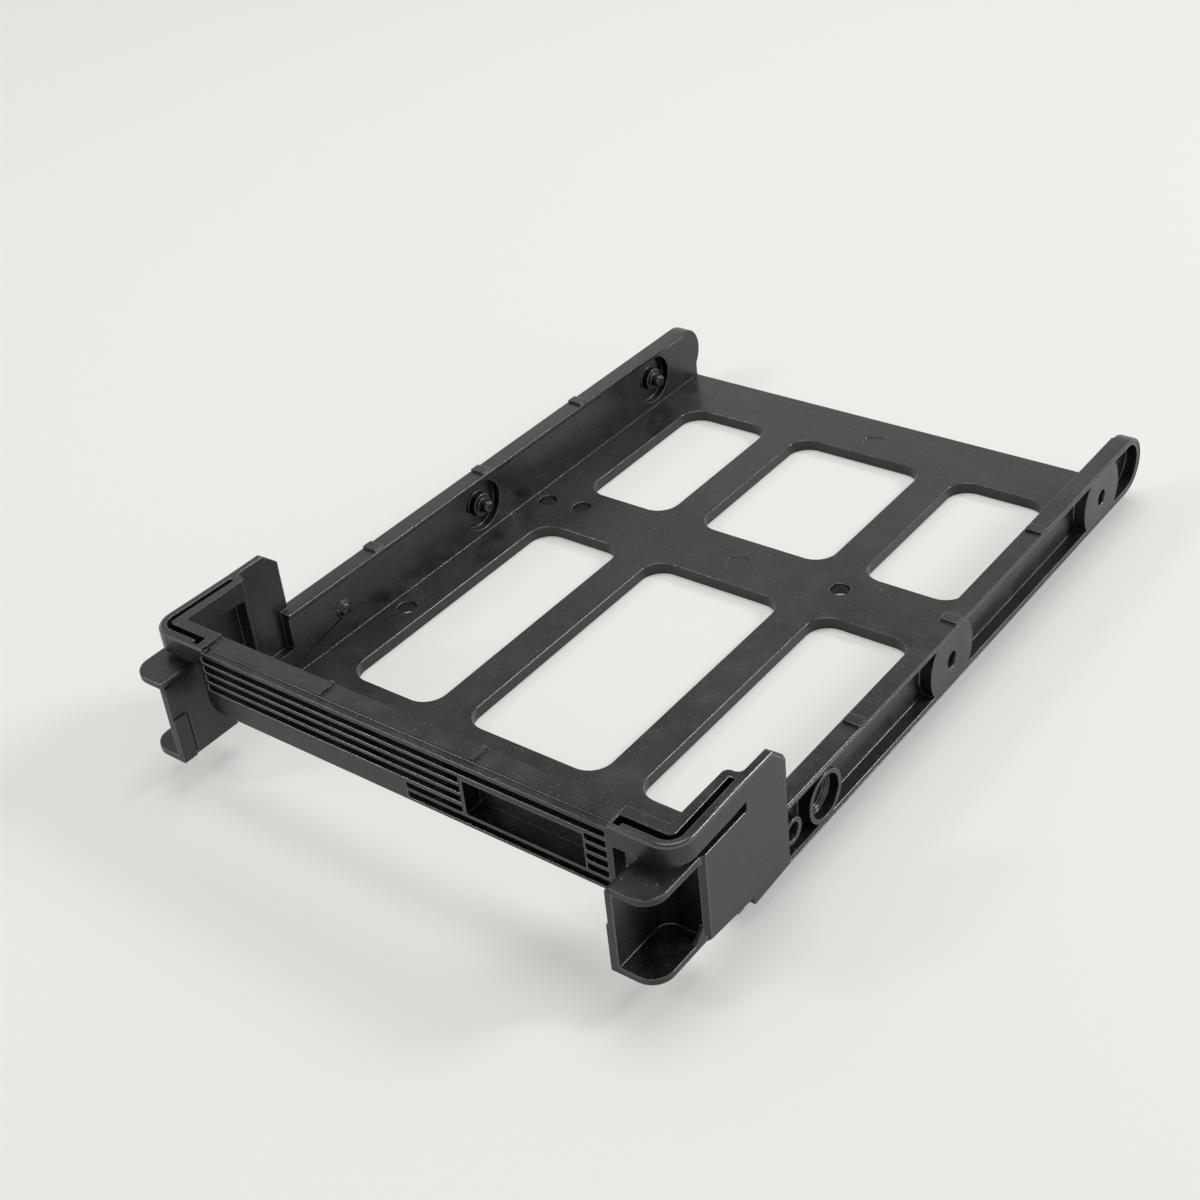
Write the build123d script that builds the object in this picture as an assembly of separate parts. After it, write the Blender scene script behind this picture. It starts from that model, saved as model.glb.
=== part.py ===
"""Hard drive caddy: a one-piece moulded tray for a 3.5 in or 2.5 in drive.

Millimetres. +X is to the right, +Y goes from the grips to the back, +Z is up.
Lengths along Y are first measured from the front edge of the front windows;
the finished tray is then moved so that its origin is the middle of its footprint,
on the surface that the floor plate stands on.
"""
from build123d import *
import os

os.makedirs("parts", exist_ok=True)

# Drive that the tray is made for, from its standard hole positions
DRIVE_WIDTH = 101.6
DRIVE_CONNECTOR_END = -19.5
SIDE_HOLE_FIRST = 28.5
SIDE_HOLE_SECOND = 41.61
SIDE_HOLE_THIRD = 60.0
SIDE_HOLE_HEIGHT = 6.35
BASE_HOLE_FIRST = 41.28
BASE_HOLE_STEP = 44.45
BASE_HOLE_SPREAD = 95.25
SMALL_DRIVE_SPREAD = 61.72
SMALL_DRIVE_STEP = 76.6
SMALL_DRIVE_REAR_HOLES = 67.6
SMALL_DRIVE_OFFSET = -8.87

# Floor plate
PLATE_THICKNESS = 2.5
PLATE_FRONT = -13.0
PLATE_BACK = 127.0
BAY_CLEARANCE = 0.4
SCREW_HOLE = 3.8
WINDOW_CORNER = 4.5
WINDOW_ROWS = ((0.0, 59.0), (73.5, 113.2))
MIDDLE_WINDOW_HALF = 15.0
SIDE_WINDOW_INNER = 22.6
SIDE_WINDOW_OUTER = 43.1
WITNESS_DIAMETER = 4.6
WITNESS_DEPTH = 0.2
WITNESS_SPOTS = ((0.0, 66.0), (0.0, 118.6), (0.0, -7.2), (-47.3, -6.5))

# Side rails, which are channels open outwards
RAIL_WIDTH = 3.3
RAIL_WEB = 0.9
RAIL_HEIGHT = 12.75
RAIL_FLANGE = 1.35
RAIL_DROP_GAP = 0.7
RAIL_FRONT = -4.2
RAIL_BACK = 128.3
RAIL_END_WALL = 1.5
LIP_REACH = 0.35
LIP_HEIGHT = 1.1
PAD_LENGTH = 2.3
PAD_HEIGHT = 0.45
PAD_INSET = 0.3
PAD_FIRST = 20.7
PAD_PITCH = 32.3
PAD_COUNT = 3

# Pins that enter the side holes of the drive
DISC_RADIUS = 7.4
RECESS_RADIUS = 5.2
RECESS_DEPTH = 1.7
PIN_BASE_RADIUS = 2.5
PIN_BASE_REACH = 0.1
PIN_TIP_RADIUS = 1.35
PIN_REACH = 2.0
PIN_BEVEL = 0.4
PIN_ROOT = 0.2
PIN_CORE_RADIUS = 1.6
PIN_CORE_TAPER = 0.4
PIN_CORE_DEPTH = 2.6

# Short pin for the front side hole, with a blind cup behind it, and the guide boss
NOSE_PIN_REACH = 1.1
NOSE_PIN_BASE_RADIUS = 1.8
NOSE_PIN_BASE_REACH = 0.35
BOSS_RADIUS = 4.8
BOSS_BORE = 3.9
BOSS_STEP_RADIUS = 2.9
BOSS_STEP = 0.5
GUIDE_BOSS_Y = -0.7
GUIDE_BOSS_HEIGHT = 6.4
GUIDE_BOSS_RADIUS = 2.5
GUIDE_BOSS_BORE = 1.6
GUIDE_BOSS_DEPTH = 2.0

# Side plates and the rim that joins them round the front
SIDE_PROUD = 0.2
SIDE_THICKNESS = 1.6
SIDE_BACK = -2.3
SIDE_BOTTOM = 1.2
SIDE_BOTTOM_FRONT = 0.6
SIDE_FOOT_FRONT = -12.3
SIDE_CHAMFER_RUN = 3.0
SIDE_CHAMFER_DROP = 2.8
RIM_TOP = 25.7
RIM_DEPTH = 4.0
RIM_FRONT = -31.0
RIM_BACK_FACE = -26.0
RIM_CORNER = 4.5
RIM_EDGE = 0.4
RIM_FLARE = 0.5
STRIP_THICKNESS = 1.5
SLOT_WIDTH = 1.0
SLOT_FRONT_WIDTH = 1.2
SLOT_END_WIDTH = 2.0
SLOT_END_LENGTH = 1.2
SLOT_END_X = 43.4
SLOT_BACK = -13.3
SLOT_CORNER = 2.6
STRIP_CORNER = 1.0
RIB_BACK = -11.8
RIB_ROUND = 1.1
RIB_BOTTOM = -2.0
LEDGE_TOP = 5.2

# Front bar
BAR_LEFT = -43.0
BAR_RIGHT = 43.6
BAR_BOTTOM = 12.4
BAR_WALL = 2.8
BAR_CORNER = 2.5
BAR_TOP_DROP = 0.4
BAR_TOP_LEFT = -41.7
BAR_TOP_RIGHT = 42.9
BAR_STEP_Y = -29.6
BAR_STEP_DROP = 0.35
RIDGE_SPOTS = (-15.7, 16.5)
RIDGE_WIDTH = 1.0
GROOVE_COUNT = 6
GROOVE_TOP = 24.0
GROOVE_PITCH = 1.95
GROOVE_HEIGHT = 1.2
GROOVE_DEPTH = 1.8
GROOVE_LEFT = -42.2
GROOVE_RIGHT = 42.3
LABEL_RIGHT = 2.6
GROOVES_ABOVE_LABEL = 4
WINDOW_LEFT = 15.0
WINDOW_RIGHT = 38.1
WINDOW_FRAME_LEFT = 0.8
WINDOW_FRAME_RIGHT = 0.35
WINDOW_DEPTH = 3.4
WINDOW_BACK_WALL = 1.2
WINDOW_SIDE_WALL = 1.0

# Squeeze arms with finger grips
ARM_THICKNESS = 1.3
ARM_TOP = 20.0
ARM_BOTTOM = 2.2
ARM_ROOT_Y = -12.0
ARM_BEND_Y = -13.6
ARM_FLARE = 0.3
ARM_FRONT_Y = -24.2
ARM_BEVEL_RUN = 1.2
ARM_BEVEL_IN = 0.6
GRIP_TOP = 20.3
GRIP_BOTTOM = 3.5
GRIP_FRONT = -37.0
GRIP_INNER = 46.2
GRIP_OUTER = 54.6
GRIP_WALL = 1.3
GRIP_CORNER = 3.8
GRIP_SCOOP = 2.5
GRIP_TOP_ROUND = 1.2
GRIP_GUSSET = 2.2
GRIP_GUSSET_WIDTH = 0.8
TOUCH_PAD_LENGTH = 2.9
TOUCH_PAD_HEIGHT = 9.2
TOUCH_PAD_PROUD = 0.3
TOUCH_GROOVE_WIDTH = 0.5
TOUCH_GROOVE_DEPTH = 0.4

# Worked out from the values above
BAY_HALF = DRIVE_WIDTH / 2 + BAY_CLEARANCE
WEB_OUTER = BAY_HALF + RAIL_WEB
RAIL_OUTER = BAY_HALF + RAIL_WIDTH
SIDE_OUTER = RAIL_OUTER + SIDE_PROUD
SIDE_INNER = SIDE_OUTER - SIDE_THICKNESS
SLOT_INNER = SIDE_INNER - SLOT_WIDTH
STRIP_INNER = SLOT_INNER - STRIP_THICKNESS
FLOOR = PLATE_THICKNESS
PIN_Z = FLOOR + SIDE_HOLE_HEIGHT
RAIL_LOW = FLOOR + RAIL_DROP_GAP
RAIL_TOP = FLOOR + RAIL_HEIGHT
RIM_HIGH = FLOOR + RIM_TOP
RIM_LOW = RIM_HIGH - RIM_DEPTH
SCREW_Y = DRIVE_CONNECTOR_END + SIDE_HOLE_FIRST
PIN_YS = (SCREW_Y + SIDE_HOLE_SECOND, SCREW_Y + SIDE_HOLE_SECOND + SIDE_HOLE_THIRD)
SLOT_FRONT = RIM_FRONT + SIDE_THICKNESS
OVERLAP = 0.5
SAME_PLACE = 0.01


def block(x0, x1, y0, y1, z0, z1):
    """A box between two corners."""
    return Pos((x0 + x1) / 2, (y0 + y1) / 2, (z0 + z1) / 2) * Box(abs(x1 - x0), abs(y1 - y0), abs(z1 - z0))


def post(x, y, z0, z1, radius):
    """An upright cylinder."""
    return Pos(x, y, (z0 + z1) / 2) * Cylinder(radius, z1 - z0)


def side_rod(x0, x1, y, z, radius, far_radius=None):
    """A round bar or a cone along X, from x0 to x1."""
    turned = Rot(0, 90, 0)
    if far_radius is None:
        solid = Cylinder(radius, x1 - x0)
    else:
        solid = Cone(radius, far_radius, x1 - x0)
    return Pos((x0 + x1) / 2, y, z) * turned * solid


def plan(points, z0, z1):
    """A prism with a plan outline, from z0 to z1."""
    face = Plane.XY * make_face(Polyline(*points, close=True))
    return Pos(0, 0, z0) * extrude(face, z1 - z0)


def side_view(points, x0, x1):
    """A prism with an outline of (y, z) points, from x0 to x1."""
    face = Plane.YZ * make_face(Polyline(*points, close=True))
    return Pos(x0, 0, 0) * extrude(face, x1 - x0)


def rounded_plan(x0, x1, y0, y1, z0, z1, radius):
    """A rounded rectangle in plan, from z0 to z1."""
    face = RectangleRounded(x1 - x0, y1 - y0, radius)
    return Pos((x0 + x1) / 2, (y0 + y1) / 2, z0) * extrude(face, z1 - z0)


def rail_profile(x0, x1, front, back, low, high):
    """A long flat bar on edge whose back end is a full half round."""
    radius = (high - low) / 2
    body = block(x0, x1, front, back - radius, low, high)
    return body + side_rod(x0, x1, back - radius, low + radius, radius)


def floor_plate():
    """The floor with its six windows and its outer edges under the rails."""
    plate = block(-BAY_HALF, BAY_HALF, PLATE_FRONT, PLATE_BACK, 0, FLOOR)
    for low, high in WINDOW_ROWS:
        spans = (
            (-SIDE_WINDOW_OUTER, -SIDE_WINDOW_INNER),
            (-MIDDLE_WINDOW_HALF, MIDDLE_WINDOW_HALF),
            (SIDE_WINDOW_INNER, SIDE_WINDOW_OUTER),
        )
        for left, right in spans:
            plate -= rounded_plan(left, right, low, high, -OVERLAP, FLOOR + OVERLAP, WINDOW_CORNER)
    for x, y in WITNESS_SPOTS:
        plate -= post(x, y, FLOOR - WITNESS_DEPTH, FLOOR + OVERLAP, WITNESS_DIAMETER / 2)
    return plate


def floor_holes():
    """Screw holes for a 3.5 in drive and for a 2.5 in drive, as cutters."""
    spots = []
    for row in range(2):
        y = DRIVE_CONNECTOR_END + BASE_HOLE_FIRST + row * BASE_HOLE_STEP
        spots += [(-BASE_HOLE_SPREAD / 2, y), (BASE_HOLE_SPREAD / 2, y)]
        y = SMALL_DRIVE_REAR_HOLES - row * SMALL_DRIVE_STEP
        spots += [(SMALL_DRIVE_OFFSET + side * SMALL_DRIVE_SPREAD / 2, y) for side in (-1, 1)]
    return [post(x, y, -OVERLAP, FLOOR + OVERLAP, SCREW_HOLE / 2) for x, y in spots]


def rail():
    """The right-hand channel with its discs, pins and bosses."""
    foot = [(BAY_HALF - OVERLAP, 0), (BAY_HALF, 0), (WEB_OUTER, RAIL_WEB), (WEB_OUTER, RAIL_LOW + OVERLAP),
            (BAY_HALF - OVERLAP, RAIL_LOW + OVERLAP)]
    section = Plane.XZ * make_face(Polyline(*foot, close=True))
    body = Pos(0, PLATE_BACK, 0) * extrude(section, PLATE_BACK - PLATE_FRONT)
    body -= block(BAY_HALF - 2 * OVERLAP, BAY_HALF, PLATE_FRONT - OVERLAP, PLATE_BACK + OVERLAP, FLOOR,
                  RAIL_TOP)
    middle = (RAIL_LOW + RAIL_TOP) / 2
    body += block(BAY_HALF, WEB_OUTER, RAIL_FRONT, PLATE_BACK, FLOOR, middle)
    body += rail_profile(BAY_HALF, RAIL_OUTER, RAIL_FRONT, RAIL_BACK, RAIL_LOW, RAIL_TOP)
    lip_back = RAIL_BACK - (RAIL_TOP - RAIL_LOW) / 2
    lip = [(BAY_HALF, RAIL_TOP - LIP_HEIGHT), (BAY_HALF - LIP_REACH, RAIL_TOP - LIP_HEIGHT + LIP_REACH),
           (BAY_HALF - LIP_REACH, RAIL_TOP), (BAY_HALF + OVERLAP, RAIL_TOP),
           (BAY_HALF + OVERLAP, RAIL_TOP - LIP_HEIGHT)]
    lip_face = Plane.XZ * make_face(Polyline(*lip, close=True))
    body += Pos(0, lip_back, 0) * extrude(lip_face, lip_back - RAIL_FRONT)

    pocket = rail_profile(WEB_OUTER, RAIL_OUTER + OVERLAP, SIDE_BACK, RAIL_BACK - RAIL_END_WALL,
                          RAIL_LOW + RAIL_FLANGE, RAIL_TOP - RAIL_FLANGE)
    for y in PIN_YS:
        pocket -= side_rod(WEB_OUTER, RAIL_OUTER + OVERLAP, y, PIN_Z, DISC_RADIUS)
    pocket -= side_rod(WEB_OUTER, RAIL_OUTER + OVERLAP, SCREW_Y, PIN_Z, BOSS_RADIUS)
    guide_z = FLOOR + GUIDE_BOSS_HEIGHT
    pocket -= side_rod(WEB_OUTER, RAIL_OUTER + OVERLAP, GUIDE_BOSS_Y, guide_z, GUIDE_BOSS_RADIUS)
    body -= pocket

    body -= side_rod(WEB_OUTER + BOSS_STEP, RAIL_OUTER + OVERLAP, SCREW_Y, PIN_Z, BOSS_BORE)
    body -= side_rod(WEB_OUTER, RAIL_OUTER, SCREW_Y, PIN_Z, BOSS_STEP_RADIUS)
    body -= side_rod(RAIL_OUTER - GUIDE_BOSS_DEPTH, RAIL_OUTER + OVERLAP, GUIDE_BOSS_Y, guide_z,
                     GUIDE_BOSS_BORE)
    body += drive_pin(SCREW_Y, BAY_HALF, NOSE_PIN_BASE_RADIUS, -NOSE_PIN_BASE_REACH, NOSE_PIN_REACH)
    for y in PIN_YS:
        seat = BAY_HALF + RECESS_DEPTH
        body -= side_rod(BAY_HALF - OVERLAP, seat, y, PIN_Z, RECESS_RADIUS)
        body += drive_pin(y, seat, PIN_BASE_RADIUS, PIN_BASE_REACH, PIN_REACH)
        body -= side_rod(RAIL_OUTER - PIN_CORE_DEPTH, RAIL_OUTER + SAME_PLACE, y, PIN_Z,
                         PIN_CORE_RADIUS - PIN_CORE_TAPER, PIN_CORE_RADIUS)
    for index in range(PAD_COUNT):
        body += rail_pad(PAD_FIRST + index * PAD_PITCH)
    return body


def drive_pin(y, seat, base_radius, base_depth, reach):
    """A stepped pin that stands on a wall and points into the bay, with a bevelled tip."""
    base = side_rod(BAY_HALF + base_depth, seat + PIN_ROOT, y, PIN_Z, base_radius)
    tip = side_rod(BAY_HALF - reach, seat + PIN_ROOT, y, PIN_Z, PIN_TIP_RADIUS)
    tip = chamfer(tip.edges().sort_by(Axis.X)[0], PIN_BEVEL)
    return base + tip


def rail_pad(y):
    """A low pad across the top of the right-hand rail."""
    inner = BAY_HALF - LIP_REACH + PAD_INSET
    return block(inner, RAIL_OUTER, y - PAD_LENGTH / 2, y + PAD_LENGTH / 2, RAIL_TOP - OVERLAP,
                 RAIL_TOP + PAD_HEIGHT)


def side_plate():
    """The right-hand upright behind the squeeze arm, with its low ledge and its rib."""
    low = FLOOR + SIDE_BOTTOM
    arm_low = FLOOR + ARM_BOTTOM
    outline = [(SIDE_FOOT_FRONT, FLOOR + SIDE_BOTTOM_FRONT), (SIDE_FOOT_FRONT, arm_low),
               (PLATE_FRONT, arm_low), (PLATE_FRONT, RIM_HIGH), (SIDE_BACK - SIDE_CHAMFER_RUN, RIM_HIGH),
               (SIDE_BACK, RIM_HIGH - SIDE_CHAMFER_DROP), (SIDE_BACK, low)]
    upright = side_view(outline, SIDE_INNER, SIDE_OUTER)
    outer_edges = upright.edges().filter_by(lambda edge: edge.center().X > SIDE_OUTER - SAME_PLACE)
    upper_edges = outer_edges.filter_by(lambda edge: edge.center().Z > RIM_HIGH - SIDE_CHAMFER_DROP)
    upright = chamfer(upper_edges, RIM_EDGE)
    ledge = block(BAY_HALF, SIDE_INNER + OVERLAP, PLATE_FRONT, RAIL_FRONT, low, FLOOR + LEDGE_TOP)
    ledge += block(BAY_HALF, SIDE_INNER, PLATE_FRONT, RAIL_FRONT, RAIL_LOW, low)
    rib = rounded_end_rib(FLOOR + RIB_BOTTOM, RIM_HIGH)
    rib -= block(WEB_OUTER, SIDE_OUTER, SLOT_BACK - OVERLAP, SIDE_BACK, 0, low)
    return upright + ledge + rib


def rounded_end_rib(z0, z1):
    """The upright rib at the front of the side plate, which runs into it in an S curve."""
    x_in, x_out = STRIP_INNER, SIDE_INNER
    reach = min(RIB_ROUND, (x_out - x_in) / 2)
    start = (x_in, RIB_BACK - reach)
    middle = (x_in + reach, RIB_BACK)
    corner = (x_out - reach, RIB_BACK)
    end = (x_out, RIB_BACK + reach)
    outline = [
        Line((x_out + OVERLAP, SLOT_BACK), (x_in, SLOT_BACK)),
        Line((x_in, SLOT_BACK), start),
        TangentArc(start, middle, tangent=(0, 1)),
        Line(middle, corner),
        TangentArc(corner, end, tangent=(1, 0)),
        Line(end, (x_out + OVERLAP, end[1])),
        Line((x_out + OVERLAP, end[1]), (x_out + OVERLAP, SLOT_BACK)),
    ]
    return Pos(0, 0, z0) * extrude(make_face(Wire(outline)), z1 - z0)


def flare(y):
    """How much further out the rim stands at a place in front of the side plates."""
    return RIM_FLARE * (SLOT_BACK - y) / (SLOT_BACK - RIM_FRONT)


def rim():
    """The band round the front, with its two L-shaped slots."""
    back = SLOT_BACK + OVERLAP
    outline = [(-SIDE_OUTER, back), (-SIDE_OUTER - RIM_FLARE, RIM_FRONT), (SIDE_OUTER + RIM_FLARE, RIM_FRONT),
               (SIDE_OUTER, back)]
    outer = plan(outline, RIM_LOW, RIM_HIGH)
    outer = fillet(outer.edges().filter_by(Axis.Z).group_by(Axis.Y)[0], RIM_CORNER)
    top_edges = outer.edges().group_by(Axis.Z)[-1].filter_by(lambda edge: edge.center().Y < SLOT_BACK)
    band = chamfer(top_edges, RIM_EDGE)
    low, high = RIM_LOW - OVERLAP, RIM_HIGH + OVERLAP
    band -= block(-STRIP_INNER, STRIP_INNER, RIM_BACK_FACE, back + OVERLAP, low, high)
    slot = rim_slot(low, high)
    return band - slot - mirror(slot, Plane.YZ)


def rim_slot(low, high):
    """The right-hand L-shaped slot as a cutter, with a wider end."""
    inner_front = SLOT_FRONT + SLOT_FRONT_WIDTH
    outer_corner = (SIDE_INNER + flare(SLOT_FRONT), SLOT_FRONT)
    inner_corner = (SLOT_INNER + flare(inner_front), inner_front)
    outline = [(SLOT_INNER, SLOT_BACK), (SIDE_INNER, SLOT_BACK), outer_corner, (SLOT_END_X, SLOT_FRONT),
               (SLOT_END_X, inner_front), inner_corner]
    slot = plan(outline, low, high)
    for corner, radius in ((outer_corner, SLOT_CORNER), (inner_corner, STRIP_CORNER)):
        upright = slot.edges().filter_by(Axis.Z).sort_by_distance((*corner, (low + high) / 2))[0]
        slot = fillet(upright, radius)
    slot += block(SLOT_END_X, SLOT_END_X + SLOT_END_LENGTH, inner_front - SLOT_END_WIDTH, inner_front, low,
                  high)
    return slot


def front_bar():
    """The grooved bar across the front, with its window and short louvres."""
    bottom = FLOOR + BAR_BOTTOM
    back = RIM_FRONT + BAR_WALL
    panel = block(BAR_LEFT, BAR_RIGHT, RIM_FRONT, back, bottom, RIM_LOW + OVERLAP)
    low_ends = panel.edges().filter_by(Axis.Y).group_by(Axis.Z)[0]
    panel = fillet(low_ends, BAR_CORNER)
    window_low = groove_low(GROOVE_COUNT - 2)
    window_high = groove_low(1) + GROOVE_HEIGHT
    panel += block(WINDOW_LEFT - WINDOW_SIDE_WALL, WINDOW_RIGHT + WINDOW_SIDE_WALL, RIM_FRONT + OVERLAP,
                   RIM_FRONT + WINDOW_DEPTH + WINDOW_BACK_WALL, window_low - WINDOW_SIDE_WALL,
                   RIM_LOW + OVERLAP)
    panel -= block(WINDOW_LEFT, WINDOW_RIGHT, RIM_FRONT - OVERLAP, RIM_FRONT + WINDOW_DEPTH, window_low,
                   window_high)
    return panel


def groove_low(index):
    """Height of the lower edge of a groove; groove 0 is the top one."""
    return FLOOR + GROOVE_TOP - GROOVE_HEIGHT - index * GROOVE_PITCH


def groove_cutters():
    """The long grooves and the short louvres of the front bar."""
    cutters = []
    for index in range(GROOVE_COUNT):
        if index < GROOVES_ABOVE_LABEL:
            start = GROOVE_LEFT
        else:
            start = LABEL_RIGHT
        spans = [(start, GROOVE_RIGHT)]
        if 0 < index < GROOVE_COUNT - 1:
            spans = [(start, WINDOW_LEFT - WINDOW_FRAME_LEFT),
                     (WINDOW_RIGHT + WINDOW_FRAME_RIGHT, GROOVE_RIGHT)]
        for left, right in spans:
            low = groove_low(index)
            cutters.append(block(left, right, RIM_FRONT - OVERLAP, RIM_FRONT + GROOVE_DEPTH, low,
                                 low + GROOVE_HEIGHT))
    return cutters


def bar_top_cutters():
    """The lower steps along the top of the bar, with ridges left across them."""
    edges = [BAR_TOP_LEFT]
    for x in RIDGE_SPOTS:
        edges += [x - RIDGE_WIDTH / 2, x + RIDGE_WIDTH / 2]
    edges.append(BAR_TOP_RIGHT)
    back = RIM_BACK_FACE + OVERLAP
    above = RIM_HIGH + OVERLAP
    cutters = [block(left, right, BAR_STEP_Y, back, RIM_HIGH - BAR_TOP_DROP, above)
               for left, right in zip(edges[::2], edges[1::2])]
    cutters.append(block(BAR_TOP_LEFT, BAR_TOP_RIGHT, RIM_FRONT - OVERLAP, BAR_STEP_Y,
                         RIM_HIGH - BAR_TOP_DROP - BAR_STEP_DROP, above))
    return cutters


def squeeze_arm():
    """The right-hand sprung arm and its finger grip, a scoop that opens outwards."""
    outer_front = SIDE_OUTER + ARM_FLARE
    wall_front = ARM_FRONT_Y - ARM_BEVEL_RUN
    wall_back = wall_front + ARM_THICKNESS
    bevel_x = outer_front - ARM_BEVEL_IN
    web_outer = GRIP_INNER + GRIP_WALL
    low, high = FLOOR + GRIP_BOTTOM, FLOOR + GRIP_TOP
    strip = [
        (SIDE_OUTER, ARM_ROOT_Y), (SIDE_OUTER, ARM_BEND_Y), (outer_front, ARM_FRONT_Y),
        (bevel_x, wall_front), (GRIP_INNER, wall_front), (GRIP_INNER, wall_back),
        (outer_front - ARM_THICKNESS, wall_back), (SIDE_OUTER - ARM_THICKNESS, ARM_BEND_Y),
        (SIDE_OUTER - ARM_THICKNESS, ARM_ROOT_Y),
    ]
    side = [
        (ARM_ROOT_Y, FLOOR + ARM_BOTTOM), (ARM_BEND_Y, FLOOR + ARM_BOTTOM), (ARM_FRONT_Y, low),
        (wall_front, low), (wall_front, high), (ARM_FRONT_Y, high), (PLATE_FRONT, FLOOR + ARM_TOP),
        (ARM_ROOT_Y, FLOOR + ARM_TOP),
    ]
    arm = plan(strip, 0, RIM_HIGH) & side_view(side, GRIP_INNER, outer_front)

    web = block(GRIP_INNER, web_outer, GRIP_FRONT, wall_back, low, high)
    scoop_radius = min(GRIP_SCOOP, GRIP_OUTER - web_outer)
    scoop = block(web_outer, web_outer + scoop_radius, wall_front - scoop_radius, wall_front, low, high)
    scoop -= post(web_outer + scoop_radius, wall_front - scoop_radius, low, high, scoop_radius)
    shelves = block(GRIP_INNER, GRIP_OUTER, GRIP_FRONT, wall_back, low, high)
    front_corner = shelves.edges().filter_by(Axis.Z).group_by(Axis.Y)[0].sort_by(Axis.X)[-1]
    shelves = fillet(front_corner, min(GRIP_CORNER, GRIP_OUTER - web_outer))
    shelves -= block(GRIP_INNER, GRIP_OUTER + OVERLAP, GRIP_FRONT - OVERLAP, wall_back + OVERLAP,
                     low + GRIP_WALL, high - GRIP_WALL)
    gusset = side_view([(wall_front, low), (wall_front, low + GRIP_WALL + GRIP_GUSSET),
                        (wall_front - GRIP_GUSSET, low + GRIP_WALL), (wall_front - GRIP_GUSSET, low)],
                       GRIP_OUTER - GRIP_GUSSET_WIDTH, GRIP_OUTER)
    grip = arm + web + scoop + shelves + gusset
    round_edges = grip.edges().filter_by(Axis.Y).filter_by(
        lambda edge: edge.center().X < GRIP_INNER + SAME_PLACE and edge.center().Z > high - SAME_PLACE)
    grip = fillet(round_edges, GRIP_TOP_ROUND)
    pad_back = GRIP_FRONT + TOUCH_PAD_LENGTH
    pad_top = low + TOUCH_PAD_HEIGHT
    grip += block(GRIP_INNER - TOUCH_PAD_PROUD, GRIP_INNER, GRIP_FRONT, pad_back, low, pad_top)
    return grip - block(GRIP_INNER - TOUCH_PAD_PROUD, GRIP_INNER + TOUCH_GROOVE_DEPTH, pad_back,
                        pad_back + TOUCH_GROOVE_WIDTH, low + TOUCH_GROOVE_WIDTH, pad_top)


def caddy_tray():
    """The whole moulding, as one solid."""
    tray = floor_plate()
    for half in (rail(), side_plate(), squeeze_arm()):
        tray += half
        tray += mirror(half, Plane.YZ)
    tray += rim()
    tray += front_bar()
    for cutter in floor_holes() + groove_cutters() + bar_top_cutters():
        tray -= cutter
    middle = (GRIP_FRONT + RAIL_BACK) / 2
    return Pos(0, -middle, 0) * tray


tray = caddy_tray().solid()
tray.label = "caddy_tray"
export_step(tray, "parts/caddy_tray.step")
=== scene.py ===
"""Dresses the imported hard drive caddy: one moulded tray of satin black plastic.

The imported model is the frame. The tray's own mesh is copied, merged and given softened
edges, fine moulding beads are swept along its rails, and a pale studio holds it.
Sizes here are in millimetres, and become metres where a mesh is made.
"""
import logging
import math
from dataclasses import dataclass, field
from enum import Enum
from typing import Dict, List, Mapping, Sequence, Set, Tuple, Union

import bmesh
import bpy
from mathutils import Matrix, Vector


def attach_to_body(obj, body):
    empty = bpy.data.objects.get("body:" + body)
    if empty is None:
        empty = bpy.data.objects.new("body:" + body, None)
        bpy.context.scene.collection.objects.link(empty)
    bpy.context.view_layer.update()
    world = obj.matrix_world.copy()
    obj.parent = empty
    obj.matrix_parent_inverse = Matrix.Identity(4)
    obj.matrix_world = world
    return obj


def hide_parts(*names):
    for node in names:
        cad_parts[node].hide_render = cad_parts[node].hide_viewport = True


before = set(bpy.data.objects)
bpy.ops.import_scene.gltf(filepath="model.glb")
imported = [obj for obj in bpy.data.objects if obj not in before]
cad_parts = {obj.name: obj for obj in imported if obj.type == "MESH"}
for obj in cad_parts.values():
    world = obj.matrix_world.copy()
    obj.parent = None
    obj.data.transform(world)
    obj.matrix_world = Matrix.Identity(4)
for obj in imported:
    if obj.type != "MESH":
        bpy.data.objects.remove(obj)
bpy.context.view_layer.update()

LOG = logging.getLogger("caddy")
MM = 0.001
BODY = "root"
TRAY_NODE = "caddy_tray"
HALF = 0.5
SPECK_CORE = 0.6

Colour = Tuple[float, float, float]
Point = Tuple[float, float, float]
Span = Tuple[float, float]


class Finish(Enum):
    """The finishes that the scene uses."""

    PLASTIC = "satin_black_plastic"
    # Softened edges and beads: rubbed smooth, in a lighter grey that is partly wear and partly a painted
    # highlight.
    EDGE = "rubbed_edge_with_painted_highlight"
    FLOOR = "pale_floor"


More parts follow.
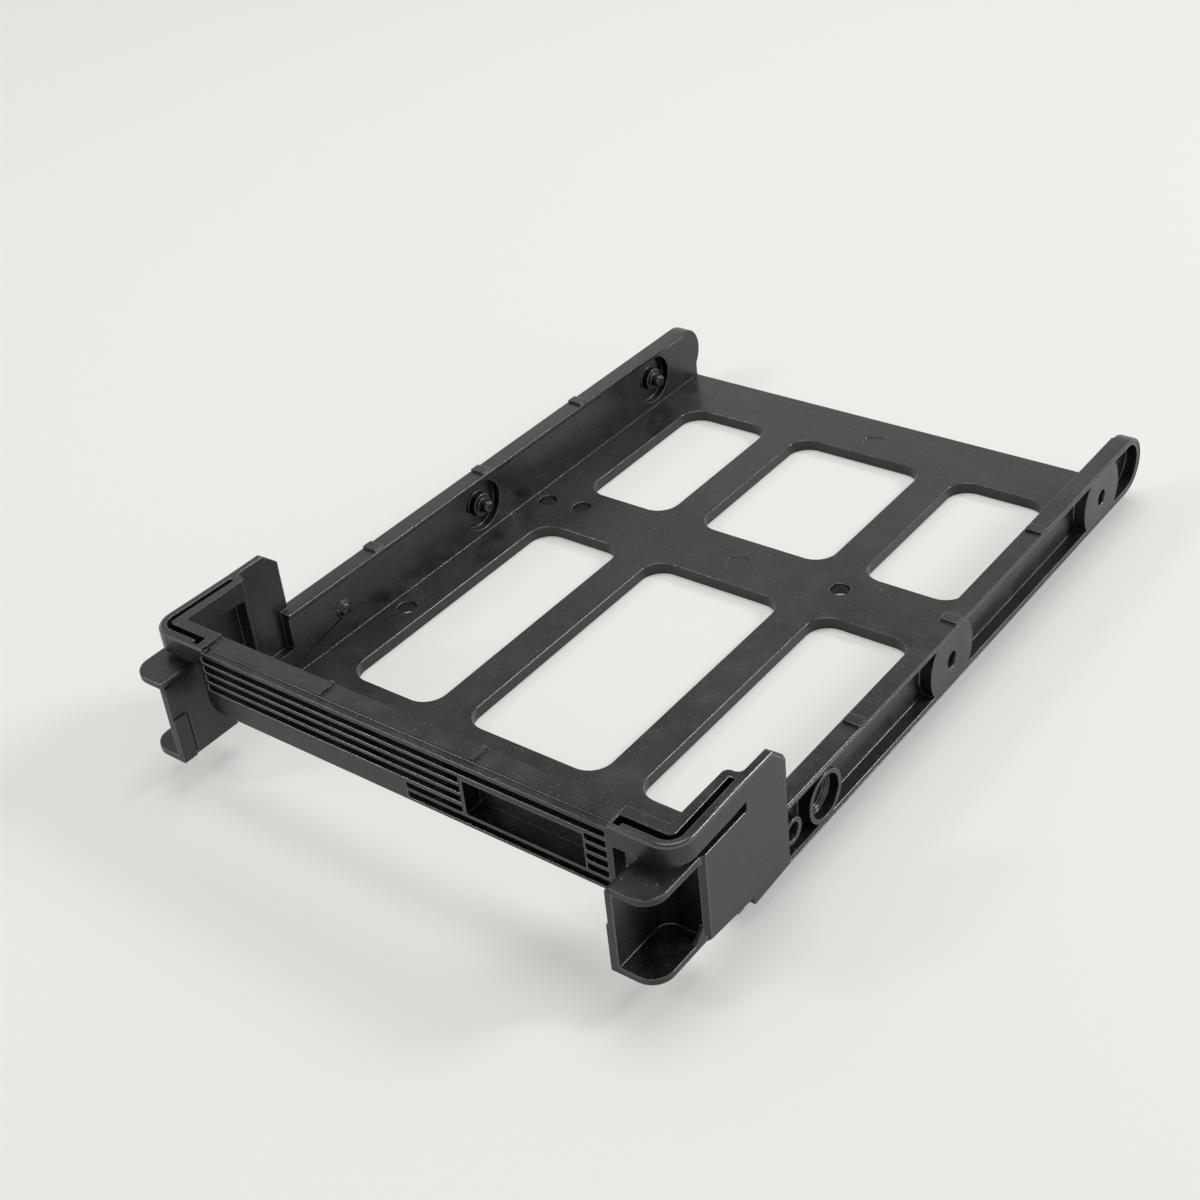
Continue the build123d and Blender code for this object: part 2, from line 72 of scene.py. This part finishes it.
class Signal:
    """One shader output, with Python operators that add Math nodes."""

    def __init__(self, graph: "Graph", output: bpy.types.NodeSocket) -> None:
        """Keeps the socket and the graph that it belongs to."""
        self.graph = graph
        self.output = output

    def _math(self, operation: str, first: "Number", second: "Number") -> "Signal":
        """Adds a Math node.

        Args:
            operation: Blender's name of the operation.
            first: the first value or signal.
            second: the second value or signal.

        Returns:
            The node's result.
        """
        return self.graph.add("ShaderNodeMath", {"operation": operation}, {0: first, 1: second})

    def __add__(self, other: "Number") -> "Signal":
        """self + other."""
        return self._math("ADD", self, other)

    def __mul__(self, other: "Number") -> "Signal":
        """self * other."""
        return self._math("MULTIPLY", self, other)

    def above(self, limit: float) -> "Signal":
        """1 where the signal is above the limit, and 0 elsewhere."""
        return self._math("GREATER_THAN", self, limit)

    def span(self, low: float, high: float, to_low: float = 0.0, to_high: float = 1.0) -> "Signal":
        """Maps a range of the signal to another, smoothly and held at both ends.

        Args:
            low: the input that gives to_low.
            high: the input that gives to_high.
            to_low: the output at and beyond low.
            to_high: the output at and beyond high.

        Returns:
            The mapped signal.
        """
        inputs = {0: self, 1: low, 2: high, 3: to_low, 4: to_high}
        return self.graph.add("ShaderNodeMapRange", {"interpolation_type": "SMOOTHSTEP"}, inputs)


Number = Union[float, Signal]


class Graph:
    """The node tree of a material or of the world, written as expressions."""

    def __init__(self, owner: Union[bpy.types.Material, bpy.types.World]) -> None:
        """Empties the owner's node tree."""
        owner.use_nodes = True
        self.tree = owner.node_tree
        self.tree.nodes.clear()

    def node(self, kind: str, settings: Mapping[str, object],
             inputs: Mapping[object, object]) -> bpy.types.Node:
        """Adds a node, sets its settings first and then its sockets.

        Args:
            kind: the node's type.
            settings: attributes of the node.
            inputs: socket name or index, with a value or a signal.

        Returns:
            The node.
        """
        node = self.tree.nodes.new(kind)
        for name, value in settings.items():
            setattr(node, name, value)
        for name, value in inputs.items():
            if isinstance(value, Signal):
                self.tree.links.new(value.output, node.inputs[name])
            else:
                node.inputs[name].default_value = value
        return node

    def add(self, kind: str, settings: Mapping[str, object], inputs: Mapping[object, object],
            output: Union[int, str] = 0) -> Signal:
        """Adds a node and returns one of its outputs as a signal."""
        return Signal(self, self.node(kind, settings, inputs).outputs[output])

    def place(self) -> Signal:
        """The point on the piece, in its own coordinates."""
        return self.add("ShaderNodeTexCoord", {}, {}, "Object")

    def noise(self, where: Signal, grain_mm: float, detail: float = 2.0) -> Signal:
        """Soft noise whose patches are about grain_mm across."""
        inputs = {"Vector": where, "Scale": 1.0 / (grain_mm * MM), "Detail": detail}
        return self.add("ShaderNodeTexNoise", {}, inputs, "Fac")

    def specks(self, where: Signal, spacing_mm: float, size: float, share: float) -> Signal:
        """Round specks in some cells of a grid of cells.

        Args:
            where: the point on the piece.
            spacing_mm: how far apart the cells lie.
            size: a speck's radius, as a share of the spacing.
            share: how many cells hold a speck.

        Returns:
            1 inside a speck and 0 outside.
        """
        inputs = {"Vector": where, "Scale": 1.0 / (spacing_mm * MM)}
        cells = self.node("ShaderNodeTexVoronoi", {}, inputs)
        near = Signal(self, cells.outputs["Distance"]).span(size, size * SPECK_CORE)
        pick = self.add("ShaderNodeSeparateColor", {}, {"Color": Signal(self, cells.outputs["Color"])}, 0)
        return near * pick.above(1.0 - share)

    def mix(self, factor: Number, first: Union[Colour, Signal], second: Union[Colour, Signal]) -> Signal:
        """A colour between two colours."""
        colours = [c if isinstance(c, Signal) else (*c, 1.0) for c in (first, second)]
        settings = {"data_type": "RGBA"}
        return self.add("ShaderNodeMix", settings, {0: factor, 6: colours[0], 7: colours[1]}, 2)

    def seen(self) -> Signal:
        """1 for what the camera, a reflection or a clear piece sees, and 0 for light on the object."""
        path = self.node("ShaderNodeLightPath", {}, {})
        rays = [Signal(self, path.outputs[f"Is {kind} Ray"]) for kind in ("Camera", "Glossy", "Transmission")]
        return (rays[0] + rays[1] + rays[2]).span(0.0, 1.0)

    def blend(self, factor: Number, first: Signal, second: Signal) -> Signal:
        """A shader between two shaders."""
        return self.add("ShaderNodeMixShader", {}, {0: factor, 1: first, 2: second})

    def finish(self, shader: Signal, output: str = "ShaderNodeOutputMaterial") -> None:
        """Joins the shader to the surface."""
        self.node(output, {}, {"Surface": shader})


@dataclass(frozen=True)
class BlackPlastic:
    """Satin black plastic with a fine mould grain, soft flow streaks and a little dust."""

    name: Finish = Finish.PLASTIC
    dark: Colour = (0.0034, 0.0033, 0.0030)
    light: Colour = (0.0080, 0.0077, 0.0068)
    dust: Colour = (0.34, 0.33, 0.29)
    film: Colour = (0.050, 0.048, 0.041)
    film_strength: float = 0.36
    streak_strength: float = 0.20
    patch_mm: float = 17.0
    streak_mm: Point = (5.0, 5.0, 60.0)
    grain_mm: float = 0.30
    fine_grain_mm: float = 0.11
    grain_height_mm: float = 0.006
    wave_height_mm: float = 0.020
    roughness: Span = (0.24, 0.36)
    shine: float = 0.5
    speck_spacing_mm: Tuple[float, float] = (1.6, 0.45)
    speck_size: Tuple[float, float] = (0.090, 0.19)
    speck_share: Tuple[float, float] = (0.42, 0.35)
    dust_on_walls: float = 0.16
    patch_detail: float = 3.0
    fine_detail: float = 1.0
    fine_share: float = 0.5
    upward_span: Span = (0.55, 0.95)
    patch_span: Span = (0.30, 0.72)
    streak_film_span: Span = (0.50, 0.70)
    streak_colour_span: Span = (0.34, 0.66)
    dust_span: Span = (0.30, 0.60)
    uneven_span: Span = (0.36, 0.64)
    dust_roughness: float = 0.3
    film_roughness: float = 0.25
    ior: float = 1.54

    def build(self) -> bpy.types.Material:
        """Makes the material.

        Returns:
            The material, for every piece of the tray.
        """
        material = bpy.data.materials.new(self.name.value)
        graph = Graph(material)
        where = graph.place()
        patches = graph.noise(where, self.patch_mm, self.patch_detail)
        streaks = graph.noise(self._stretched(graph, where), 1.0 / MM)
        grain = graph.noise(where, self.grain_mm)
        fine = graph.noise(where, self.fine_grain_mm, self.fine_detail)
        facing = graph.add("ShaderNodeNewGeometry", {}, {}, "Normal")
        upward = graph.add("ShaderNodeSeparateXYZ", {}, {0: facing}, 2).span(*self.upward_span)
        film = (upward * patches.span(*self.patch_span) * self.film_strength
                + streaks.span(*self.streak_film_span) * self.streak_strength)
        specks = graph.specks(where, self.speck_spacing_mm[0], self.speck_size[0], self.speck_share[0])
        lint = graph.specks(where, self.speck_spacing_mm[1], self.speck_size[1], self.speck_share[1])
        settled = upward.span(0.0, 1.0, self.dust_on_walls, 1.0)
        dusty = (specks + lint) * settled * fine.span(*self.dust_span)
        base = graph.mix(streaks.span(*self.streak_colour_span), self.dark, self.light)
        base = graph.mix(film, base, self.film)
        base = graph.mix(dusty, base, self.dust)
        uneven = (streaks + grain) * HALF
        rough = (uneven.span(*self.uneven_span, *self.roughness) + dusty * self.dust_roughness
                 + film * self.film_roughness)
        bump = graph.add("ShaderNodeBump", {}, {
            "Strength": 1.0, "Distance": MM,
            "Height": ((grain + fine * self.fine_share) * self.grain_height_mm
                       + streaks * self.wave_height_mm)})
        shader = graph.add("ShaderNodeBsdfPrincipled", {}, {
            "Base Color": base, "Roughness": rough, "Normal": bump, "IOR": self.ior,
            "Specular IOR Level": self.shine})
        graph.finish(shader)
        return material

    def _stretched(self, graph: Graph, where: Signal) -> Signal:
        """The point on the piece, in units of a flow streak's width and length.

        Args:
            graph: the material's nodes.
            where: the point on the piece.

        Returns:
            The scaled point.
        """
        scale = tuple(1.0 / (length * MM) for length in self.streak_mm)
        return graph.add("ShaderNodeVectorMath", {"operation": "MULTIPLY"}, {0: where, 1: scale})


@dataclass(frozen=True)
class PaleFloor:
    """The plain pale sheet that the tray stands on."""

    colour: Colour = (0.93, 0.925, 0.905)
    glow: Colour = (0.93, 0.915, 0.885)
    glow_share: float = 0.30
    roughness: float = 0.75
    shine: float = 0.1

    def build(self) -> bpy.types.Material:
        """Makes the floor's material, which looks paler than the light on it, and keeps its shadow.

        Returns:
            The material.
        """
        material = bpy.data.materials.new(Finish.FLOOR.value)
        graph = Graph(material)
        lit = graph.add("ShaderNodeBsdfPrincipled", {}, {
            "Base Color": (*self.colour, 1.0), "Roughness": self.roughness,
            "Specular IOR Level": self.shine})
        glow = graph.add("ShaderNodeEmission", {}, {"Color": (*self.glow, 1.0), "Strength": 1.0})
        graph.finish(graph.blend(graph.seen() * self.glow_share, lit, glow))
        return material


def plain_mesh(source: bpy.types.Object, name: str) -> bpy.types.Object:
    """Bakes an object's modifiers into a new plain mesh object at the origin.

    Args:
        source: the object, with its modifiers. It is removed.
        name: the new object's name.

    Returns:
        The new object.
    """
    depsgraph = bpy.context.evaluated_depsgraph_get()
    mesh = bpy.data.meshes.new_from_object(source.evaluated_get(depsgraph))
    bpy.data.objects.remove(source)
    mesh.name = name
    piece = bpy.data.objects.new(name, mesh)
    bpy.context.scene.collection.objects.link(piece)
    return piece


@dataclass
class TrayShell:
    """The moulded tray, with the softened edges that the CAD solid leaves out."""

    edge_mm: float = 0.20
    sharp_degrees: float = 24.0
    merge_mm: float = 0.002
    flat_degrees: float = 0.6
    same_plane_degrees: float = 0.05
    ring_mm: float = 0.24
    ring_from_mm2: float = 3000.0
    share_of_edge: float = 0.42
    share_of_ring: float = 0.92
    lean_degrees: float = 50.0
    segments: int = 2

    def build(self, finish: bpy.types.Material, edge_finish: bpy.types.Material) -> bpy.types.Object:
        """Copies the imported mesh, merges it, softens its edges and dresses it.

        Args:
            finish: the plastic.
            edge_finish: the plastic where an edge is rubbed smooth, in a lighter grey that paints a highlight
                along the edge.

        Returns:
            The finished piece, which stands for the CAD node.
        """
        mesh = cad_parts[TRAY_NODE].data.copy()
        body = bmesh.new()
        body.from_mesh(mesh)
        bmesh.ops.remove_doubles(body, verts=body.verts, dist=self.merge_mm * MM)
        self._even_flat_triangles(body)
        self._ring_flat_areas(body)
        self._weigh_edges(body)
        body.to_mesh(mesh)
        body.free()
        mesh.materials.clear()
        mesh.materials.append(finish)
        mesh.materials.append(edge_finish)
        rough = bpy.data.objects.new("tray_rough", mesh)
        bpy.context.scene.collection.objects.link(rough)
        bevel = rough.modifiers.new("soft_edges", "BEVEL")
        bevel.limit_method = "WEIGHT"
        bevel.width = self.edge_mm * MM
        bevel.segments = self.segments
        # The softened edges take the second finish, whose lighter grey paints a highlight along them.
        bevel.material = 1
        bevel.use_clamp_overlap = False
        softened = plain_mesh(rough, "tray_softened")
        self._join_flat_faces(softened.data)
        weighted = softened.modifiers.new("flat_faces", "WEIGHTED_NORMAL")
        weighted.keep_sharp = False
        triangles = softened.modifiers.new("triangles", "TRIANGULATE")
        triangles.keep_custom_normals = True
        tray = plain_mesh(softened, "moulded_tray")
        self._hold_normals(tray.data)
        return tray

    def _hold_normals(self, mesh: bpy.types.Mesh) -> None:
        """Gives a corner its face's own normal wherever the smoothed one leans too far from it.

        Args:
            mesh: the finished mesh, changed in place.
        """
        normals = [corner.vector.copy() for corner in mesh.corner_normals]
        for face in mesh.polygons:
            for index in face.loop_indices:
                if normals[index].dot(face.normal) < math.cos(math.radians(self.lean_degrees)):
                    normals[index] = face.normal.copy()
        mesh.normals_split_custom_set(normals)

    def _even_flat_triangles(self, body: bmesh.types.BMesh) -> None:
        """Flips edges inside flat areas, so that no thin triangle crosses an area.

        Args:
            body: the merged mesh, changed in place.
        """
        limit = math.radians(self.same_plane_degrees)
        inside = [edge for edge in body.edges
                  if len(edge.link_faces) == 2 and edge.calc_face_angle(1.0) < limit]
        bmesh.ops.beautify_fill(body, faces=body.faces, edges=inside, method="ANGLE")

    def _ring_flat_areas(self, body: bmesh.types.BMesh) -> None:
        """Lays a narrow ring of faces inside the rim of each large flat area.

        Softening an edge then moves the ring, not the long triangles inside it. The sets
        follow memory, so the mesh can differ a little from run to run.

        Args:
            body: the merged mesh, changed in place.
        """
        limit = math.radians(self.same_plane_degrees)
        left = set(body.faces)
        while left:
            area = {left.pop()}
            growing = list(area)
            while growing:
                for edge in growing.pop().edges:
                    if len(edge.link_faces) != 2 or edge.calc_face_angle(1.0) >= limit:
                        continue
                    more = [face for face in edge.link_faces if face in left]
                    left.difference_update(more)
                    area.update(more)
                    growing += more
            if sum(face.calc_area() for face in area) > self.ring_from_mm2 * MM * MM:
                bmesh.ops.inset_region(body, faces=list(area), thickness=self.ring_mm * MM,
                                       use_boundary=True, use_even_offset=True)

    def _join_flat_faces(self, mesh: bpy.types.Mesh) -> None:
        """Joins triangles that lie in one plane, so that flat faces shade flat.

        Args:
            mesh: the softened mesh, changed in place.
        """
        body = bmesh.new()
        body.from_mesh(mesh)
        bmesh.ops.dissolve_limit(body, angle_limit=math.radians(self.flat_degrees), verts=body.verts,
                                 edges=body.edges)
        for face in body.faces:
            face.smooth = True
        body.to_mesh(mesh)
        body.free()

    def _weigh_edges(self, body: bmesh.types.BMesh) -> None:
        """Gives each sharp edge a bevel weight that its short neighbours leave room for.

        Args:
            body: the merged mesh, changed in place.
        """
        layer = body.edges.layers.float.new("bevel_weight_edge")
        sharp = set()
        for edge in body.edges:
            if len(edge.link_faces) == 2 and edge.calc_face_angle(0.0) > math.radians(self.sharp_degrees):
                sharp.add(edge)
        sharp_verts = {vert for edge in sharp for vert in edge.verts}
        room: Dict[bmesh.types.BMVert, float] = {}
        for vert in body.verts:
            bevelled = [edge for edge in vert.link_edges if edge in sharp]
            if not bevelled:
                continue
            others = [edge for edge in vert.link_edges if edge not in sharp]
            if len(bevelled) > 2:
                others += bevelled
            limits = [edge.calc_length() * self._share(edge, vert, sharp_verts) for edge in others]
            room[vert] = min(limits, default=self.edge_mm * MM)
        for edge in sharp:
            space = min(room[vert] for vert in edge.verts)
            edge[layer] = min(1.0, space / (self.edge_mm * MM))

    def _share(self, edge: bmesh.types.BMEdge, vert: bmesh.types.BMVert,
               sharp_verts: Set[bmesh.types.BMVert]) -> float:
        """How much of an edge the softening may use up from one of its ends.

        Args:
            edge: the edge beside the softened one.
            vert: the end that the softening moves along it.
            sharp_verts: the corners that a softened edge touches.

        Returns:
            The share of the edge's length.
        """
        return self.share_of_edge if edge.other_vert(vert) in sharp_verts else self.share_of_ring


@dataclass
class MouldLines:
    """Fine raised lines that the mould leaves: round each rail's outer face, and along its foot."""

    rail_outer_mm: float = 54.5
    rail_low_mm: float = 3.2
    rail_top_mm: float = 15.25
    rail_front_mm: float = -49.0
    rail_back_mm: float = 82.65
    inset_mm: float = 0.45
    bay_half_mm: float = 51.2
    plate_top_mm: float = 2.5
    plate_front_mm: float = -58.65
    plate_back_mm: float = 81.35
    cup_centre_mm: Tuple[float, float] = (-36.65, 8.85)
    cup_floor_mm: float = 52.6
    cup_rings_mm: Tuple[float, ...] = (3.15, 3.55)
    bead_mm: float = 0.11
    arc_steps: int = 24

    def build(self, finish: bpy.types.Material) -> bpy.types.Object:
        """Sweeps a fine round bead along every line.

        Args:
            finish: the plastic of the beads, whose lighter grey paints a highlight along them.

        Returns:
            One plain mesh with all the beads.
        """
        corners: List[Point] = []
        edges: List[Tuple[int, int]] = []
        for side in (-1, 1):
            for path, closed in self._paths(side):
                start = len(corners)
                corners += [tuple(value * MM for value in corner) for corner in path]
                edges += [(index, index + 1) for index in range(start, len(corners) - 1)]
                if closed:
                    edges.append((len(corners) - 1, start))
        mesh = bpy.data.meshes.new("mould_line_paths")
        mesh.from_pydata(corners, edges, [])
        paths = bpy.data.objects.new("mould_line_paths", mesh)
        bpy.context.scene.collection.objects.link(paths)
        sweep = SweepTree()
        modifier = paths.modifiers.new("sweep", "NODES")
        modifier.node_group = sweep.build()
        modifier[sweep.radius_socket] = self.bead_mm * MM
        modifier[sweep.finish_socket] = finish
        return plain_mesh(paths, "mould_lines")

    def _paths(self, side: int) -> List[Tuple[List[Point], bool]]:
        """The lines of one side of the tray, in millimetres.

        Args:
            side: -1 for the left rail and 1 for the right rail.

        Returns:
            Each line's points, and whether it closes on itself.
        """
        radius = (self.rail_top_mm - self.rail_low_mm) / 2
        middle = self.rail_low_mm + radius
        turn = self.rail_back_mm - radius
        reach = radius - self.inset_mm
        face = side * self.rail_outer_mm
        loop = [(face, self.rail_front_mm, middle + reach)]
        for step in range(self.arc_steps + 1):
            angle = math.pi * step / self.arc_steps
            loop.append((face, turn + reach * math.sin(angle), middle + reach * math.cos(angle)))
        loop.append((face, self.rail_front_mm, middle - reach))
        wall = side * self.bay_half_mm
        foot = [(wall, self.plate_front_mm, self.plate_top_mm), (wall, self.plate_back_mm, self.plate_top_mm)]
        lines = [(loop, False), (foot, False)]
        for ring in self.cup_rings_mm:
            lines.append((self._ring(side * self.cup_floor_mm, ring), True))
        return lines

    def _ring(self, x: float, radius: float) -> List[Point]:
        """A ring on the floor of the cup behind the front pin.

        Args:
            x: how far from the middle the cup's floor lies.
            radius: the ring's radius.

        Returns:
            The ring's points, in millimetres.
        """
        y, z = self.cup_centre_mm
        turns = [2 * math.pi * step / (2 * self.arc_steps) for step in range(2 * self.arc_steps)]
        return [(x, y + radius * math.cos(turn), z + radius * math.sin(turn)) for turn in turns]


class SweepTree:
    """Geometry nodes that sweep a round profile along every path of a mesh of edges."""

    def __init__(self) -> None:
        """Makes the node group with its named inputs."""
        self.group = bpy.data.node_groups.new("bead_along_paths", "GeometryNodeTree")
        face = self.group.interface
        face.new_socket("Paths", in_out="INPUT", socket_type="NodeSocketGeometry")
        self.radius_socket = face.new_socket(
            "Bead radius", in_out="INPUT", socket_type="NodeSocketFloat").identifier
        self.finish_socket = face.new_socket(
            "Finish", in_out="INPUT", socket_type="NodeSocketMaterial").identifier
        face.new_socket("Beads", in_out="OUTPUT", socket_type="NodeSocketGeometry")

    def build(self, sides: int = 8) -> bpy.types.NodeTree:
        """Adds the nodes and links them.

        Args:
            sides: how many sides the round profile has.

        Returns:
            The node group.
        """
        nodes, link = self.group.nodes, self.group.links.new
        given = nodes.new("NodeGroupInput")
        curves = nodes.new("GeometryNodeMeshToCurve")
        profile = nodes.new("GeometryNodeCurvePrimitiveCircle")
        profile.inputs["Resolution"].default_value = sides
        sweep = nodes.new("GeometryNodeCurveToMesh")
        sweep.inputs["Fill Caps"].default_value = True
        real = nodes.new("GeometryNodeRealizeInstances")
        dress = nodes.new("GeometryNodeSetMaterial")
        result = nodes.new("NodeGroupOutput")
        link(given.outputs["Paths"], curves.inputs["Mesh"])
        link(given.outputs["Bead radius"], profile.inputs["Radius"])
        link(curves.outputs["Curve"], sweep.inputs["Curve"])
        link(profile.outputs["Curve"], sweep.inputs["Profile Curve"])
        link(sweep.outputs["Mesh"], real.inputs["Geometry"])
        link(real.outputs["Geometry"], dress.inputs["Geometry"])
        link(given.outputs["Finish"], dress.inputs["Material"])
        link(dress.outputs["Geometry"], result.inputs["Beads"])
        return self.group


@dataclass
class Studio:
    """The pale floor, soft lamps and the camera at the photograph's viewing angle."""

    floor_size_m: float = 8.0
    world_colour: Colour = (1.0, 0.995, 0.985)
    world_light: float = 0.36
    world_seen: Tuple[float, float] = (1.0, 0.22)
    world_heights: Tuple[float, float] = (0.46, 0.70)
    camera_mm: Point = (173.69, -225.78, 202.13)
    azimuth_deg: float = 41.105
    elevation_deg: float = 34.346
    roll_deg: float = -6.77
    lens_mm: float = 55.41
    sensor_mm: float = 36.0
    clip_start_m: float = 0.01
    shift: Tuple[float, float] = (0.0142, 0.0018)
    lamps: Sequence[Tuple[str, Tuple[float, float, float], float, float]] = field(default_factory=lambda: (
        ("top_lamp", (-0.10, 0.22, 1.05), 0.50, 3.6),
        ("right_lamp", (0.90, 0.90, 0.85), 0.34, 7.0),
        ("left_lamp", (-0.90, -0.90, 0.95), 0.24, 2.8),
    ))

    def build(self) -> None:
        """Makes the floor, the world, the lamps and the camera."""
        self._floor()
        self._world()
        for name, place, size, power in self.lamps:
            self._lamp(name, Vector(place), size, power)
        self._camera()

    def _floor(self) -> None:
        """A large flat sheet under the tray, which isn't part of the object."""
        half = self.floor_size_m / 2
        mesh = bpy.data.meshes.new("floor")
        corners = [(-half, -half, 0.0), (half, -half, 0.0), (half, half, 0.0), (-half, half, 0.0)]
        mesh.from_pydata(corners, [], [(0, 1, 2, 3)])
        mesh.materials.append(PaleFloor().build())
        floor = bpy.data.objects.new("floor", mesh)
        bpy.context.scene.collection.objects.link(floor)

    def _world(self) -> None:
        """An even pale sky, which reflections see as white low down and greyer overhead."""
        world = bpy.data.worlds.new("studio")
        graph = Graph(world)
        colour = (*self.world_colour, 1.0)
        direction = graph.add("ShaderNodeTexCoord", {}, {}, "Generated")
        height = graph.add("ShaderNodeSeparateXYZ", {}, {0: direction}, 2)
        strength = height.span(*self.world_heights, *self.world_seen)
        lighting = graph.add("ShaderNodeBackground", {}, {"Color": colour, "Strength": self.world_light})
        seen = graph.add("ShaderNodeBackground", {}, {"Color": colour, "Strength": strength})
        graph.finish(graph.blend(graph.seen(), lighting, seen), "ShaderNodeOutputWorld")
        bpy.context.scene.world = world

    def _lamp(self, name: str, place: Vector, size: float, power: float) -> None:
        """A square soft box that faces the tray.

        Args:
            name: the lamp's name.
            place: where it hangs, in metres.
            size: its side, in metres.
            power: its power, in watts.
        """
        data = bpy.data.lights.new(name, "AREA")
        data.shape = "SQUARE"
        data.size = size
        data.energy = power
        lamp = bpy.data.objects.new(name, data)
        lamp.location = place
        lamp.rotation_euler = (-place).to_track_quat("-Z", "Y").to_euler()
        bpy.context.scene.collection.objects.link(lamp)

    def _camera(self) -> None:
        """The camera that was fitted to the photograph."""
        azimuth, elevation, roll = (math.radians(v) for v in (
            self.azimuth_deg, self.elevation_deg, self.roll_deg))
        forward = Vector((-math.sin(azimuth) * math.cos(elevation), math.cos(azimuth) * math.cos(elevation),
                          -math.sin(elevation)))
        level = Vector((math.cos(azimuth), math.sin(azimuth), 0.0))
        upright = level.cross(forward)
        right = level * math.cos(roll) + upright * math.sin(roll)
        up = right.cross(forward)
        turn = Matrix((right, up, -forward)).transposed()
        data = bpy.data.cameras.new("photo_camera")
        data.lens = self.lens_mm
        data.sensor_width = self.sensor_mm
        data.shift_x, data.shift_y = self.shift
        data.clip_start = self.clip_start_m
        camera = bpy.data.objects.new("photo_camera", data)
        camera.matrix_world = Matrix.Translation(Vector(self.camera_mm) * MM) @ turn.to_4x4()
        bpy.context.scene.collection.objects.link(camera)
        bpy.context.scene.camera = camera


def attach(piece: bpy.types.Object, *nodes: str) -> None:
    """Lets a piece ride on the tray and reports it.

    Args:
        piece: the finished piece.
        nodes: the CAD nodes that it stands for.
    """
    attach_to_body(piece, BODY)
    if nodes:
        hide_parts(*nodes)
    LOG.info("%s: %d faces", piece.name, len(piece.data.polygons))


def main() -> None:
    """Builds the tray and the studio in order."""
    logging.basicConfig(level=logging.INFO)
    bpy.context.scene.view_settings.view_transform = "Standard"
    plastic = BlackPlastic().build()
    # The edge finish's lighter grey is partly rubbed wear and partly a painted highlight along every softened
    # edge and bead.
    edge = BlackPlastic(name=Finish.EDGE, dark=(0.016, 0.0155, 0.014), light=(0.036, 0.034, 0.030),
                        roughness=(0.13, 0.24), shine=1.0, grain_height_mm=0.002).build()
    attach(TrayShell().build(plastic, edge), TRAY_NODE)
    attach(MouldLines().build(edge))
    Studio().build()


if __name__ == "__main__":
    main()
